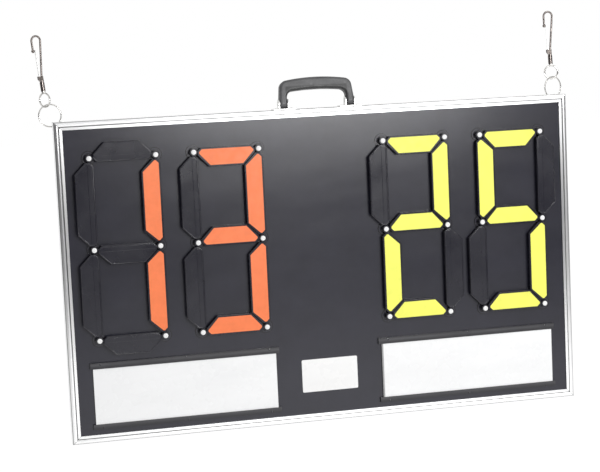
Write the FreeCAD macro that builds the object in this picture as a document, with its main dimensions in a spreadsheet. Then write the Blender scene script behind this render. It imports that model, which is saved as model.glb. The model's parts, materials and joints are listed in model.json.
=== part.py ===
import FreeCAD, Part
import math
import os
import Sketcher
from FreeCAD import Placement, Rotation, Vector

# A portable flip-segment scoreboard, in millimetres. X points to the viewer's right, Y away from the viewer,
# Z up. The origin is the centre of the bottom rail's underside.

SIZES = {
    # frame
    "board_width": 800.0,
    "board_height": 482.0,
    "frame_depth": 24.0,
    "rail_face": 12.0,
    "lip_width": 4.0,
    "lip_setback": 0.8,
    "groove_width": 1.2,
    "groove_depth": 1.0,
    "bead_width": 5.0,
    "bead_rise": 1.2,
    "outer_wall": 2.0,
    "inner_wall": 1.5,
    "rear_wall": 1.8,
    "rear_opening": 2.0,
    # panel
    "panel_setback": 3.0,
    "panel_thickness": 3.0,
    "panel_tuck": 8.0,
    "panel_edge_play": 0.2,
    # corner keys and their screws
    "key_width": 6.4,
    "key_arm": 40.0,
    "key_play": 0.1,
    "corner_screw_inset": 27.0,
    "corner_screw_radius": 1.5,
    "corner_screw_length": 10.0,
    "corner_head_radius": 2.6,
    "corner_head_height": 1.2,
    "corner_socket": 2.5,
    "corner_socket_depth": 0.8,
    "hole_play": 0.1,
    "thread_play": 0.03,
    # digits
    "side_margin": 48.0,
    "digit_gap": 57.0,
    "centre_gap": 194.0,
    "top_row_drop": 55.0,
    "low_row_clearance": 34.0,
    # hubs
    "foot_radius": 10.5,
    "foot_height": 0.8,
    "post_radius": 5.5,
    "axis_height": 7.5,
    "cap_height": 2.5,
    "flap_pin_radius": 1.8,
    "flap_pin_play": 0.1,
    "hub_screw_radius": 2.0,
    "hub_head_radius": 3.7,
    "hub_head_height": 1.9,
    "hub_head_edge": 0.6,
    "recess_width": 1.0,
    "recess_reach": 2.2,
    "recess_depth": 1.1,
    "nut_flats": 7.0,
    "nut_height": 3.2,
    "washer_radius": 4.5,
    "washer_height": 0.8,
    "screw_tip": 1.5,
    # flaps
    "flap_thickness": 5.0,
    "flap_reach": 23.0,
    "heel_reach": 6.0,
    "end_gap": 6.0,
    "mitre_offset": 0.57,
    "heel_chamfer": 5.5,
    "flap_pin_gap": 3.1,
    "flap_bevel": 0.5,
    "facing_rim": 2.3,
    "facing_recess": 0.35,
    # name plates and channels
    "plate_side_gap": 24.0,
    "plate_label_gap": 40.0,
    "plate_thickness": 2.0,
    "plate_corner": 1.5,
    "plate_tuck": 4.0,
    "plate_play": 0.1,
    "plate_low_edge": 28.0,
    "plate_window": 84.0,
    "channel_inner_overhang": 5.0,
    "channel_outer_overhang": 4.0,
    "channel_floor": 0.6,
    "channel_lip": 1.2,
    "channel_slot_play": 0.2,
    "top_channel_height": 9.0,
    "low_channel_height": 7.5,
    "rivet_inset": 15.0,
    "rivet_radius": 0.8,
    "rivet_head_radius": 1.4,
    "rivet_head_height": 0.6,
    # label plate
    "label_width": 88.0,
    "label_height": 50.5,
    "label_thickness": 1.0,
    "label_corner": 2.0,
    "label_low_edge": 46.5,
    # handle
    "handle_span": 116.0,
    "handle_depth": 15.0,
    "handle_rise": 38.0,
    "handle_bar": 18.2,
    "leg_width": 12.0,
    "leg_straight": 8.0,
    "leg_flare": 2.8,
    "shoulder_drop": 5.2,
    "shoulder_round": 12.0,
    "armpit_flare": 1.4,
    "armpit_drop": 2.9,
    "armpit_round": 10.0,
    "handle_round": 4.0,
    "handle_pin_radius": 2.0,
    "handle_pin_play": 0.05,
    "handle_gap": 0.3,
    "handle_lean": 11.0,
    "bracket_plate": 1.2,
    "bracket_ear": 1.5,
    "bracket_tab": 9.0,
    "bracket_depth": 18.0,
    "ear_radius": 6.5,
    "pin_head_radius": 3.2,
    "pin_head_height": 1.2,
    "bracket_rivet_radius": 1.6,
    "bracket_rivet_head": 2.8,
    "bracket_rivet_rise": 1.1,
    "blind_head_radius": 2.4,
    "blind_head_height": 2.0,
    # hanger eyes
    "eye_drop": 13.0,
    "eye_reach": 12.0,
    "eye_radius": 9.75,
    "eye_wire": 1.25,
    "eye_shank": 2.0,
    "eye_grip": 12.0,
    "eye_neck": 1.0,
    "eye_collar": 4.0,
    "eye_collar_height": 1.4,
    # link rings
    "ring_radius": 16.5,
    "ring_wire": 1.0,
    "left_ring_turn": 0.0,
    "right_ring_turn": 20.0,
    "left_ring_lean": 22.0,
    "right_ring_lean": 8.0,
    "link_gap": 0.35,
    # swivel eyes
    "swivel_radius": 10.3,
    "swivel_wire": 1.2,
    "stem_radius": 1.7,
    "stem_head_radius": 2.5,
    "stem_head_height": 2.6,
    "stem_play": 0.08,
    "head_play": 0.1,
    "neck_radius": 3.0,
    "neck_height": 2.6,
    "left_swivel_turn": 40.0,
    "right_swivel_turn": -13.0,
    # hooks
    "barrel_radius": 3.5,
    "barrel_height": 16.5,
    "barrel_floor": 2.4,
    "barrel_chamber": 5.0,
    "barrel_waist": 2.9,
    "barrel_band": 3.0,
    "hook_wire": 1.5,
    "hook_radius": 7.0,
    "hook_offset": 0.7,
    "hook_height": 98.0,
    "hook_end": 83.5,
    "knob_radius": 2.6,
    "yoke_left": 5.0,
    "yoke_right": 2.4,
    "yoke_height": 6.0,
    "yoke_width": 5.0,
    "yoke_slot_side": 1.0,
    "yoke_slot_floor": 1.6,
    "left_hook_turn": 20.0,
    "right_hook_turn": 0.0,
    "left_hook_lean": 5.5,
    "right_hook_lean": 2.5,
    # gates
    "gate_pivot_side": 2.8,
    "gate_pivot_height": 3.5,
    "gate_pin": 0.75,
    "gate_pin_play": 0.08,
    "gate_eye": 1.6,
    "gate_width": 2.4,
    "gate_side_play": 0.1,
    "gate_thickness": 1.2,
    "gate_length": 41.5,
    # cuts
    "overrun": 1.0,
}

FULL_TURN = 360.0
HALF_TURN = 180.0
QUARTER_TURN = 90.0
HEX_SIDES = 6
FLATNESS = 0.001
DECIMALS = 9
CUBIC_MM_IN_CUBIC_CM = 1000
RAIL_TURNS = {"frame_top": 0.0, "frame_right": 90.0, "frame_bottom": 180.0, "frame_left": 270.0}

# The digits from left to right, with the segments that show their coloured face.
DIGITS = {
    "home_tens": ("top_right", "bottom_right"),
    "home_units": ("top", "top_right", "middle", "bottom_right", "bottom"),
    "guest_tens": ("top", "top_right", "middle", "bottom_left", "bottom"),
    "guest_units": ("top", "top_left", "middle", "bottom_right", "bottom"),
}

# For each segment, the hinge's place in its digit as (columns from the centre, rows from the top), and the
# direction of the free edge when the coloured face shows.
SEGMENTS = {
    "top": ((0.0, 0.0), "down"),
    "top_right": ((0.5, 0.5), "left"),
    "bottom_right": ((0.5, 1.5), "left"),
    "bottom": ((0.0, 2.0), "up"),
    "bottom_left": ((-0.5, 1.5), "right"),
    "top_left": ((-0.5, 0.5), "right"),
    "middle": ((0.0, 1.0), "up"),
}
DIRECTION_TURNS = {"up": 0.0, "right": 90.0, "down": 180.0, "left": 270.0}


class Size:
    """A value together with the formula that gives it from the sheet."""

    def __init__(self, amount, formula):
        self.amount = amount
        self.formula = formula

    def __add__(self, other):
        return Size(self.amount + amount_of(other), f"({self.formula} + {formula_of(other)})")

    def __sub__(self, other):
        return Size(self.amount - amount_of(other), f"({self.formula} - {formula_of(other)})")

    def __mul__(self, other):
        return Size(self.amount * amount_of(other), f"({self.formula} * {formula_of(other)})")

    def __truediv__(self, other):
        return Size(self.amount / amount_of(other), f"({self.formula} / {formula_of(other)})")

    def __neg__(self):
        return Size(-self.amount, f"(-{self.formula})")


def amount_of(item):
    return item.amount if isinstance(item, Size) else float(item)


def formula_of(item):
    return item.formula if isinstance(item, Size) else f"({item})"


class Sizes:
    """The sheet's cells by name."""


doc = FreeCAD.newDocument("scoreboard")
sheet = doc.addObject("Spreadsheet::Sheet", "Sizes")
s = Sizes()
for row, (alias, amount) in enumerate(SIZES.items(), start=1):
    sheet.set(f"A{row}", alias)
    sheet.set(f"B{row}", str(amount))
    sheet.setAlias(f"B{row}", alias)
    setattr(s, alias, Size(amount, f"Sizes.{alias}"))
doc.recompute()

nodes = {}


# Places that several pieces share.
half_depth = s.frame_depth / 2
panel_front = s.panel_setback - half_depth
panel_back = panel_front + s.panel_thickness
hollow_depth = s.frame_depth - s.panel_setback - s.panel_thickness - s.inner_wall - s.rear_wall
key_line = s.outer_wall + s.key_play + s.key_width / 2
plate_top_edge = s.plate_low_edge + s.plate_window
top_row = s.board_height - s.top_row_drop
low_row = plate_top_edge + s.top_channel_height + s.low_row_clearance
segment_height = (top_row - low_row) / 2
segment_width = (s.board_width - s.side_margin * 2 - s.centre_gap - s.digit_gap * 2) / 4
inner_digit = s.centre_gap / 2 + segment_width / 2
outer_digit = inner_digit + segment_width + s.digit_gap
digit_centres = (-outer_digit, -inner_digit, inner_digit, outer_digit)
half_digit = segment_width / 2
hub_columns = [centre + half for centre in digit_centres for half in (-half_digit, half_digit)]
hub_rows = [top_row, top_row - segment_height, low_row]
hinge_depth = panel_front - s.axis_height
bore_radius = s.hub_screw_radius + s.hole_play
plate_inner_edge = s.label_width / 2 + s.plate_label_gap
plate_width = s.board_width / 2 - s.rail_face - s.plate_side_gap - plate_inner_edge
plate_centre = plate_inner_edge + plate_width / 2
top_slot_end = plate_top_edge + s.plate_tuck + s.channel_slot_play
low_slot_end = s.plate_low_edge - s.plate_tuck - s.channel_slot_play
top_channel_edge = plate_top_edge + s.top_channel_height
low_channel_edge = s.plate_low_edge - s.low_channel_height
channel_slot = s.plate_thickness + s.plate_play * 2
channel_depth = s.channel_floor + channel_slot + s.channel_lip
channel_length = plate_width + s.channel_inner_overhang + s.channel_outer_overhang
channel_centre = plate_inner_edge - s.channel_inner_overhang + channel_length / 2
outer_rivet = channel_length / 2 - s.rivet_inset
rivet_offsets = (-outer_rivet, Size(0.0, "0"), outer_rivet)
rivet_rows = ((top_slot_end + top_channel_edge) / 2, (low_slot_end + low_channel_edge) / 2)
leg_centre = (s.handle_span - s.leg_width) / 2
pivot_rise = s.bracket_plate + s.handle_gap + s.handle_depth / 2
ear_inside = s.leg_width / 2 + s.handle_gap
tab_centre = ear_inside + s.bracket_ear + s.bracket_tab / 2
eye_across = s.board_width / 2 - key_line
eye_up = s.board_height - s.eye_drop
eye_back = half_depth + s.eye_reach
barrel_start = s.swivel_radius * 2 + s.neck_height + s.head_play
barrel_end = barrel_start + s.barrel_height
gate_pivot_up = barrel_end + s.gate_pivot_height


def body_for(label):
    """A new body that is a sub-part of its own."""
    body = shape_for(label)
    nodes[label] = body
    return body


def shape_for(label):
    """A new body that only serves as the pattern for copies."""
    body = doc.addObject("PartDesign::Body", label)
    body.Label = label
    return body


def bind(thing, name, amount):
    thing.setExpression(name, formula_of(amount))


def place(thing, across, deep, up, turn=Rotation()):
    """Puts a piece at a place given in sizes."""
    base = Vector(amount_of(across), amount_of(deep), amount_of(up))
    thing.Placement = Placement(base, turn)
    for axis, amount in zip("xyz", (across, deep, up)):
        bind(thing, f"Placement.Base.{axis}", amount)


def about_y(degrees):
    return Rotation(Vector(0, 1, 0), degrees)


def about_z(degrees):
    return Rotation(Vector(0, 0, 1), degrees)


def copies(label, pattern, spots):
    """One sub-part made of copies of a pattern body. A spot is (across, deep, up, rotation)."""
    group = doc.addObject("Part::Compound", label)
    links = []
    for spot in spots:
        link = doc.addObject("App::Link", f"{label}_copy")
        link.LinkedObject = pattern
        place(link, *spot)
        links.append(link)
    group.Links = links
    group.Label = label
    nodes[label] = group
    return group


def origin_plane(body, role):
    return next(item for item in body.Origin.OriginFeatures if item.Role == role)


def sketch_on(body, role, name, lift=0):
    """A sketch on one of the body's own origin planes, lifted along the plane's normal."""
    drawn = body.newObject("Sketcher::SketchObject", f"{body.Name}_{name}")
    drawn.AttachmentSupport = [(origin_plane(body, role), "")]
    drawn.MapMode = "FlatFace"
    bind(drawn, "AttachmentOffset.Base.z", lift)
    return drawn


def flat(across, up):
    return Vector(amount_of(across), amount_of(up), 0)


def pin(drawn, edge, end, across, up):
    """Ties one point of an edge to its place."""
    for kind, axis, amount in (("DistanceX", -2, across), ("DistanceY", -1, up)):
        if amount_of(amount) == 0:
            drawn.addConstraint(Sketcher.Constraint("PointOnObject", edge, end, axis))
        else:
            tie = drawn.addConstraint(Sketcher.Constraint(kind, edge, end, amount_of(amount)))
            bind(drawn, f"Constraints[{tie}]", amount)


def outline(drawn, points):
    """A closed outline. A point is (across, up), with a second (across, up) for an arc to the next point."""
    edges = []
    for point, after in zip(points, points[1:] + points[:1]):
        start = flat(*point[:2])
        finish = flat(*after[:2])
        if len(point) == 2:
            edge = drawn.addGeometry(Part.LineSegment(start, finish), False)
            edges.append((edge, 1, 2))
            continue
        via = flat(*point[2:])
        anticlockwise = (via - start).cross(finish - via).z > 0
        arc = Part.Arc(start, via, finish) if anticlockwise else Part.Arc(finish, via, start)
        edge = drawn.addGeometry(arc, False)
        edges.append((edge, 1, 2) if anticlockwise else (edge, 2, 1))
        dot = drawn.addGeometry(Part.Point(via), True)
        pin(drawn, dot, 1, *point[2:])
        drawn.addConstraint(Sketcher.Constraint("PointOnObject", dot, 1, edge))
    for point, here, before in zip(points, edges, edges[-1:] + edges[:-1]):
        edge, start = here[:2]
        pin(drawn, edge, start, *point[:2])
        drawn.addConstraint(Sketcher.Constraint("Coincident", before[0], before[2], edge, start))


def rectangle(drawn, left, low, right, high):
    outline(drawn, [(left, low), (right, low), (right, high), (left, high)])


def circle(drawn, across, up, radius):
    ring = drawn.addGeometry(Part.Circle(flat(across, up), Vector(0, 0, 1), amount_of(radius)), False)
    pin(drawn, ring, 3, across, up)
    tie = drawn.addConstraint(Sketcher.Constraint("Radius", ring, amount_of(radius)))
    bind(drawn, f"Constraints[{tie}]", radius)


def pad(body, drawn, length, both=False, back=False):
    """Extrudes along the sketch's normal, to both sides alike, or backwards."""
    made = body.newObject("PartDesign::Pad", f"{drawn.Name}_pad")
    made.Profile = drawn
    bind(made, "Length", length)
    if both:
        made.SideType = "Symmetric"
    made.Reversed = back
    return made


def pocket(body, drawn, length=None, both=False, along=False):
    """Cuts against the sketch's normal, to both sides alike, or along the normal."""
    made = body.newObject("PartDesign::Pocket", f"{drawn.Name}_cut")
    made.Profile = drawn
    if length is None:
        made.Type = "ThroughAll"
    else:
        bind(made, "Length", length)
    if both:
        made.SideType = "Symmetric"
    made.Reversed = along
    return made


def revolve(body, drawn, axis="V_Axis"):
    made = body.newObject("PartDesign::Revolution", f"{drawn.Name}_turned")
    made.Profile = drawn
    made.ReferenceAxis = (drawn, [axis])
    made.Angle = FULL_TURN
    return made


def edges_where(feature, wanted):
    """The names of the feature's edges that pass a test."""
    doc.recompute()
    return [f"Edge{index}" for index, edge in enumerate(feature.Shape.Edges, start=1) if wanted(edge)]


def fillet(body, feature, radius, wanted):
    made = body.newObject("PartDesign::Fillet", f"{feature.Name}_round")
    made.Base = (feature, edges_where(feature, wanted))
    bind(made, "Radius", radius)
    return made


def chamfer(body, feature, width, wanted):
    made = body.newObject("PartDesign::Chamfer", f"{feature.Name}_bevel")
    made.Base = (feature, edges_where(feature, wanted))
    bind(made, "Size", width)
    return made


def along_y(edge):
    box = edge.BoundBox
    return box.YLength > box.XLength + box.ZLength


def face_edge(depth):
    """A test for edges that lie in one of the two faces at the given distance from the middle plane."""
    def wanted(edge):
        box = edge.BoundBox
        return box.YLength < FLATNESS and abs(abs(box.YMin) - depth) < FLATNESS
    return wanted


# The frame is four mitred lengths of one extrusion: a flat inner lip, a groove and a rounded bead in front, a
# slot for the panel, and a hollow that is open at the back.
def rail(label, span, reach, eye_side):
    body = body_for(label)
    inner = reach - s.rail_face
    lip = s.lip_setback - half_depth
    groove = lip + s.groove_depth
    bead = s.bead_rise - half_depth
    bead_in = inner + s.lip_width + s.groove_width
    bead_out = bead_in + s.bead_width
    shoulder = reach - bead_out
    round_share = 1 - math.sqrt(0.5)
    slot = inner + s.panel_tuck + s.panel_edge_play
    hollow_front = panel_back + s.inner_wall
    hollow_back = half_depth - s.rear_wall
    hollow_side = reach - s.outer_wall
    drawn = sketch_on(body, "YZ_Plane", "section")
    outline(drawn, [
        (lip, inner),
        (lip, inner + s.lip_width),
        (groove, inner + s.lip_width),
        (groove, bead_in),
        (bead, bead_in, -half_depth, bead_in + s.bead_width / 2),
        (bead, bead_out, bead + shoulder * round_share, reach - shoulder * round_share),
        (bead + shoulder, reach),
        (half_depth, reach),
        (half_depth, inner + s.rear_opening),
        (hollow_back, inner + s.rear_opening),
        (hollow_back, hollow_side),
        (hollow_front, hollow_side),
        (hollow_front, inner),
        (panel_back, inner),
        (panel_back, slot),
        (panel_front, slot),
        (panel_front, inner),
    ])
    pad(body, drawn, span, both=True)
    cut = sketch_on(body, "XZ_Plane", "mitres")
    for side in (-1, 1):
        outline(cut, [
            ((span / 2 + s.overrun) * side, reach + s.overrun),
            ((span / 2 - s.rail_face - s.overrun) * side, inner - s.overrun),
            ((span / 2 + s.overrun) * side, inner - s.overrun),
        ])
    pocket(body, cut, both=True)
    heads = sketch_on(body, "XZ_Plane", "screw_heads", -half_depth)
    holes = sketch_on(body, "XZ_Plane", "screw_holes", -half_depth)
    for side in (-1, 1):
        across = (span / 2 - s.corner_screw_inset) * side
        circle(heads, across, reach - key_line, s.corner_head_radius + s.hole_play)
        circle(holes, across, reach - key_line, s.corner_screw_radius + s.hole_play)
    if eye_side:
        across = (span / 2 - s.eye_drop) * eye_side
        circle(holes, across, reach - key_line, s.eye_shank + s.thread_play)
    pocket(body, heads, s.corner_head_height, along=True)
    pocket(body, holes, s.rear_wall + s.overrun, along=True)
    if label == "frame_top":
        rivets = sketch_on(body, "XY_Plane", "rivet_holes")
        for across in bracket_rivet_places():
            circle(rivets, across, 0, s.bracket_rivet_radius + s.hole_play)
        pocket(body, rivets, along=True)
    place(body, 0, 0, s.board_height / 2, about_y(RAIL_TURNS[label]))


def bracket_rivet_places():
    return [leg_centre * side + tab_centre * tab for side in (-1, 1) for tab in (-1, 1)]


def corner_keys():
    """Cast L-shaped keys that fill the hollow behind each mitre."""
    body = shape_for("corner_key_shape")
    near = s.outer_wall + s.key_play
    bend = near + s.key_width
    far = near + s.key_arm
    drawn = sketch_on(body, "XZ_Plane", "outline", s.rear_wall - half_depth)
    outline(drawn, [
        (-near, -near), (-near, -far), (-bend, -far),
        (-bend, -bend), (-far, -bend), (-far, -near),
    ])
    pad(body, drawn, hollow_depth - s.key_play)
    holes = sketch_on(body, "XZ_Plane", "holes")
    for along, radius in ((s.corner_screw_inset, s.corner_screw_radius), (s.eye_drop, s.eye_shank)):
        circle(holes, -key_line, -along, radius + s.thread_play)
        circle(holes, -along, -key_line, radius + s.thread_play)
    pocket(body, holes, both=True)
    right = s.board_width / 2
    low = Size(0.0, "0")
    copies("corner_keys", body, [
        (right, 0, s.board_height, about_y(0)),
        (-right, 0, s.board_height, about_y(-QUARTER_TURN)),
        (-right, 0, low, about_y(HALF_TURN)),
        (right, 0, low, about_y(QUARTER_TURN)),
    ])


def hexagon(drawn, flats):
    """A hexagon about the sketch's origin, by its width across the flats."""
    corner = flats / (2 * math.cos(math.pi / HEX_SIDES))
    turns = [2 * math.pi * index / HEX_SIDES for index in range(HEX_SIDES)]
    corners = [(round(math.cos(turn), DECIMALS), round(math.sin(turn), DECIMALS)) for turn in turns]
    outline(drawn, [(corner * across, corner * up) for across, up in corners])


def corner_screws():
    body = shape_for("corner_screw_shape")
    head = sketch_on(body, "XZ_Plane", "head")
    circle(head, 0, 0, s.corner_head_radius)
    pad(body, head, s.corner_head_height)
    shank = sketch_on(body, "XZ_Plane", "shank")
    circle(shank, 0, 0, s.corner_screw_radius)
    pad(body, shank, s.corner_screw_length)
    socket = sketch_on(body, "XZ_Plane", "socket")
    hexagon(socket, s.corner_socket)
    pocket(body, socket, s.corner_socket_depth, along=True)
    right = s.board_width / 2
    spots = []
    for side in (-1, 1):
        for across, rise in ((key_line, s.corner_screw_inset), (s.corner_screw_inset, key_line)):
            spots.append(((right - across) * side, half_depth, rise))
            spots.append(((right - across) * side, half_depth, s.board_height - rise))
    copies("corner_screws", body, spots)


def panel():
    body = body_for("panel")
    half = s.board_width / 2 - s.rail_face + s.panel_tuck
    low = s.rail_face - s.panel_tuck
    drawn = sketch_on(body, "XZ_Plane", "sheet", -panel_back)
    rectangle(drawn, -half, low, half, s.board_height - low)
    pad(body, drawn, s.panel_thickness)
    holes = sketch_on(body, "XZ_Plane", "holes")
    for across in hub_columns:
        for up in hub_rows:
            circle(holes, across, up, bore_radius)
    for side in (-1, 1):
        for offset in rivet_offsets:
            for up in rivet_rows:
                circle(holes, channel_centre * side + offset, up, s.rivet_radius + s.hole_play)
    pocket(body, holes, both=True)


def hub_spots(deep):
    return [(across, deep, up) for across in hub_columns for up in hub_rows]


def grooves(body):
    """Half-round grooves on the hinge axes, one along each row and one along each column."""
    radius = s.flap_pin_radius + s.flap_pin_play
    rows = sketch_on(body, "YZ_Plane", "row_groove")
    circle(rows, -s.axis_height, 0, radius)
    pocket(body, rows, both=True)
    columns = sketch_on(body, "XY_Plane", "column_groove")
    circle(columns, 0, -s.axis_height, radius)
    pocket(body, columns, both=True)


def hubs():
    """Moulded posts on round feet, with caps that close over the flaps' pins."""
    base = shape_for("hub_base_shape")
    foot = sketch_on(base, "XZ_Plane", "foot")
    circle(foot, 0, 0, s.foot_radius)
    pad(base, foot, s.foot_height)
    post = sketch_on(base, "XZ_Plane", "post")
    circle(post, 0, 0, s.post_radius)
    pad(base, post, s.axis_height)
    grooves(base)
    bore = sketch_on(base, "XZ_Plane", "bore")
    circle(bore, 0, 0, bore_radius)
    pocket(base, bore, both=True)
    copies("hub_bases", base, hub_spots(panel_front))

    cap = shape_for("hub_cap_shape")
    disc = sketch_on(cap, "XZ_Plane", "disc", s.axis_height)
    circle(disc, 0, 0, s.post_radius)
    pad(cap, disc, s.cap_height)
    grooves(cap)
    hole = sketch_on(cap, "XZ_Plane", "bore")
    circle(hole, 0, 0, bore_radius)
    pocket(cap, hole, both=True)
    copies("hub_caps", cap, hub_spots(panel_front))


def hub_screws():
    """Round-headed white screws with a cross recess, and flanged nuts behind the panel."""
    screw = shape_for("hub_screw_shape")
    top = -(s.axis_height + s.cap_height)
    edge = top - s.hub_head_edge
    crown = top - s.hub_head_height
    tip = s.panel_thickness + s.washer_height + s.nut_height + s.screw_tip
    bulge = s.hub_head_radius * math.sqrt(0.5)
    drawn = sketch_on(screw, "XY_Plane", "section")
    outline(drawn, [
        (0, crown),
        (0, tip),
        (s.hub_screw_radius, tip),
        (s.hub_screw_radius, top),
        (s.hub_head_radius, top),
        (s.hub_head_radius, edge, bulge, edge - (s.hub_head_height - s.hub_head_edge) / 2),
    ])
    revolve(screw, drawn)
    half = s.recess_width / 2
    reach = s.recess_reach
    cross = sketch_on(screw, "XZ_Plane", "recess", -crown)
    outline(cross, [
        (-half, -reach), (half, -reach), (half, -half), (reach, -half), (reach, half), (half, half),
        (half, reach), (-half, reach), (-half, half), (-reach, half), (-reach, -half), (-half, -half),
    ])
    pocket(screw, cross, s.recess_depth)
    copies("hub_screws", screw, hub_spots(panel_front))

    nut = shape_for("hub_nut_shape")
    washer = sketch_on(nut, "XZ_Plane", "washer")
    circle(washer, 0, 0, s.washer_radius)
    pad(nut, washer, s.washer_height, back=True)
    sides = sketch_on(nut, "XZ_Plane", "hexagon")
    hexagon(sides, s.nut_flats)
    pad(nut, sides, s.washer_height + s.nut_height, back=True)
    bore = sketch_on(nut, "XZ_Plane", "bore")
    circle(bore, 0, 0, s.hub_screw_radius + s.thread_play)
    pocket(nut, bore, both=True)
    copies("hub_nuts", nut, hub_spots(panel_back))


def flap_outline(drawn, half, inset):
    """The six-cornered flap outline on each side of its hinge, drawn in from the edge by an inset."""
    slant = inset * math.sqrt(2)
    end = half - s.end_gap - inset
    mitre_up = s.end_gap + inset - s.mitre_offset - slant
    free = s.flap_reach - inset
    heel = s.heel_reach - inset
    heel_end = end - s.heel_chamfer - slant + inset * 2
    chamfer_up = s.heel_reach - s.heel_chamfer + inset - slant
    free_end = half - s.mitre_offset - slant - free
    outline(drawn, [
        (free_end, free),
        (-free_end, free),
        (-end, mitre_up),
        (-end, -chamfer_up),
        (-heel_end, -heel),
        (heel_end, -heel),
        (end, -chamfer_up),
        (end, mitre_up),
    ])


def flap(label, span, across, up, direction, lit):
    """A flat black flap with a recess for its coloured facing in front and a round pin at each end."""
    body = body_for(label)
    half = span / 2
    plate = sketch_on(body, "XZ_Plane", "plate")
    flap_outline(plate, half, Size(0.0, "0"))
    made = pad(body, plate, s.flap_thickness, both=True)
    chamfer(body, made, s.flap_bevel, face_edge(amount_of(s.flap_thickness / 2)))
    pins = sketch_on(body, "YZ_Plane", "pins")
    circle(pins, 0, 0, s.flap_pin_radius)
    pad(body, pins, span - s.flap_pin_gap * 2, both=True)
    facing = sketch_on(body, "XZ_Plane", "facing", s.flap_thickness / 2)
    flap_outline(facing, half, s.facing_rim)
    pocket(body, facing, s.facing_recess)
    turn = about_y(DIRECTION_TURNS[direction])
    if not lit:
        turn = turn.multiply(about_y(HALF_TURN)).multiply(about_z(HALF_TURN))
    place(body, across, hinge_depth, up, turn)


def flaps():
    for (digit, lit), centre in zip(DIGITS.items(), digit_centres):
        for segment, ((column, row), direction) in SEGMENTS.items():
            span = segment_height if column else segment_width
            across = centre + segment_width * column
            up = top_row - segment_height * row
            flap(f"flap_{digit}_{segment}", span, across, up, direction, segment in lit)


def channel(label, side, lip_edge, slot_end, far_edge, rivet_row):
    """A moulded strip whose slot holds one long edge of a name plate."""
    body = body_for(label)
    floor = panel_front - s.channel_floor
    lip = floor - channel_slot
    front = panel_front - channel_depth
    drawn = sketch_on(body, "YZ_Plane", "section")
    outline(drawn, [
        (panel_front, lip_edge), (floor, lip_edge), (floor, slot_end), (lip, slot_end),
        (lip, lip_edge), (front, lip_edge), (front, far_edge), (panel_front, far_edge),
    ])
    pad(body, drawn, channel_length, both=True)
    holes = sketch_on(body, "XZ_Plane", "rivet_holes")
    for offset in rivet_offsets:
        circle(holes, offset, rivet_row, s.rivet_radius + s.hole_play)
    pocket(body, holes, both=True)
    place(body, channel_centre * side, 0, 0)


def channel_rivets():
    body = shape_for("channel_rivet_shape")
    grip = channel_depth + s.panel_thickness
    drawn = sketch_on(body, "XY_Plane", "section")
    outline(drawn, [
        (0, -s.rivet_head_height),
        (s.rivet_head_radius, -s.rivet_head_height / 2),
        (s.rivet_head_radius, 0),
        (s.rivet_radius, 0),
        (s.rivet_radius, grip),
        (s.rivet_head_radius, grip),
        (s.rivet_head_radius, grip + s.rivet_head_height / 2),
        (0, grip + s.rivet_head_height),
    ])
    revolve(body, drawn)
    deep = panel_front - channel_depth
    columns = [channel_centre * side + offset for side in (-1, 1) for offset in rivet_offsets]
    copies("channel_rivets", body, [(across, deep, up) for across in columns for up in rivet_rows])


def rounded_plate(label, half, low, high, back, thickness, corner):
    body = body_for(label)
    drawn = sketch_on(body, "XZ_Plane", "sheet", -back)
    rectangle(drawn, -half, low, half, high)
    made = pad(body, drawn, thickness)
    fillet(body, made, corner, along_y)
    return body


def name_plates():
    back = panel_front - s.channel_floor - s.plate_play
    low = low_slot_end + s.channel_slot_play / 2
    high = top_slot_end - s.channel_slot_play / 2
    for name, side in (("home", -1), ("guest", 1)):
        body = rounded_plate(
            f"name_plate_{name}", plate_width / 2, low, high, back, s.plate_thickness, s.plate_corner
        )
        place(body, plate_centre * side, 0, 0)
        for place_name, edge, slot_end, far_edge, rivet_row in (
            ("top", plate_top_edge, top_slot_end, top_channel_edge, rivet_rows[0]),
            ("bottom", s.plate_low_edge, low_slot_end, low_channel_edge, rivet_rows[1]),
        ):
            channel(f"channel_{name}_{place_name}", side, edge, slot_end, far_edge, rivet_row)


def handle():
    """A bow handle with rounded shoulders, leaning back on its pins."""
    body = body_for("handle")
    half = s.handle_span / 2
    inner = half - s.leg_width
    foot = s.handle_depth / 2
    shoulder = half - s.leg_flare
    shoulder_up = s.handle_rise - s.shoulder_drop
    under = s.handle_rise - s.handle_bar
    armpit = inner - s.armpit_flare
    armpit_up = under - s.armpit_drop
    drawn = sketch_on(body, "XZ_Plane", "bow")
    outline(drawn, [
        (half, -foot),
        (half, s.leg_straight),
        (shoulder, shoulder_up, 0, s.handle_rise),
        (-shoulder, shoulder_up),
        (-half, s.leg_straight),
        (-half, -foot),
        (-inner, -foot),
        (-inner, s.leg_straight),
        (-armpit, armpit_up, 0, under),
        (armpit, armpit_up),
        (inner, s.leg_straight),
        (inner, -foot),
    ])
    made = pad(body, drawn, s.handle_depth, both=True)
    bar_low = amount_of(under)
    leg_top = amount_of(s.leg_straight + s.overrun)
    in_face = face_edge(amount_of(foot))

    def at_shoulder(edge):
        return along_y(edge) and edge.BoundBox.ZMin > bar_low

    def at_armpit(edge):
        return along_y(edge) and leg_top < edge.BoundBox.ZMin < bar_low

    def round_face(edge):
        return in_face(edge) and edge.BoundBox.ZMax > 0

    made = fillet(body, made, s.shoulder_round, at_shoulder)
    made = fillet(body, made, s.armpit_round, at_armpit)
    fillet(body, made, s.handle_round, round_face)
    feet = sketch_on(body, "YZ_Plane", "feet")
    out = foot + s.overrun
    outline(feet, [
        (-foot, 0, 0, -foot), (foot, 0), (out, 0), (out, -out), (-out, -out), (-out, 0),
    ])
    pocket(body, feet, both=True)
    bores = sketch_on(body, "YZ_Plane", "bores")
    circle(bores, 0, 0, s.handle_pin_radius + s.handle_pin_play)
    pocket(body, bores, both=True)
    place(body, 0, 0, s.board_height + pivot_rise, Rotation(Vector(1, 0, 0), -amount_of(s.handle_lean)))


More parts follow.
